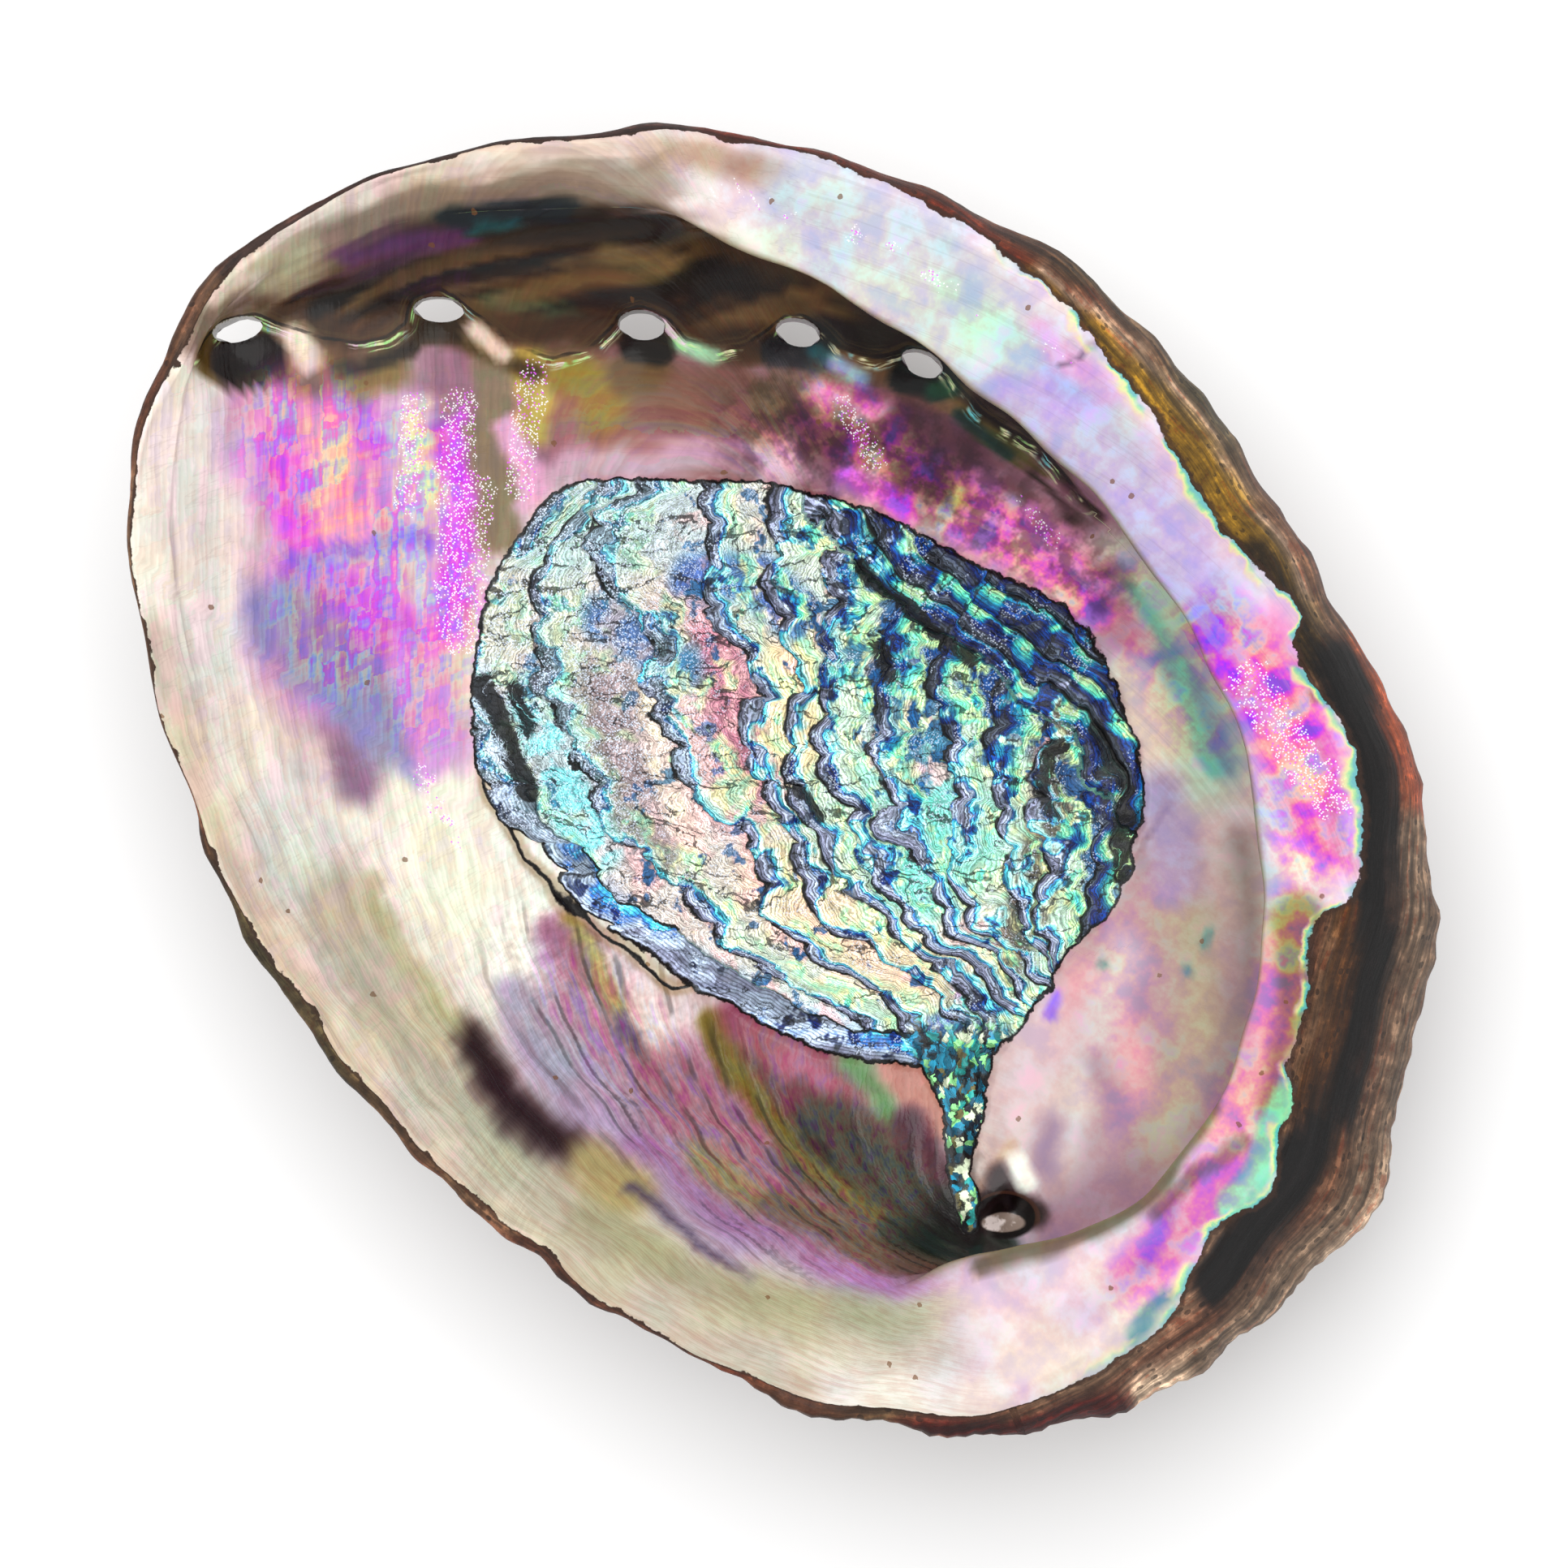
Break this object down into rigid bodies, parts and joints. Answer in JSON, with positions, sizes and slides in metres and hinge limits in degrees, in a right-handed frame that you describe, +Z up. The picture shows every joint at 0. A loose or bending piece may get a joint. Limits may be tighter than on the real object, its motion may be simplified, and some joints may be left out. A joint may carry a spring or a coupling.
{
  "type": "abalone shell",
  "caption": "Abalone shell lying open side up on its back: deep oval pearly bowl with an overhanging inner shelf, a row of breathing holes and a rough muscle scar.",
  "frame": {"origin": "middle of the bounding box in plan, at the height of the flat spot on the back", "axes": "+X along the length from the spire end to the growing edge, +Z up out of the open side"},
  "size_m": [0.1866, 0.1372, 0.044],
  "materials": {
    "shell": "polished mother of pearl inside, rough brown crust outside"
  },
  "bodies": {
    "root": {"shell": "shell"}
  },
  "joints": []
}
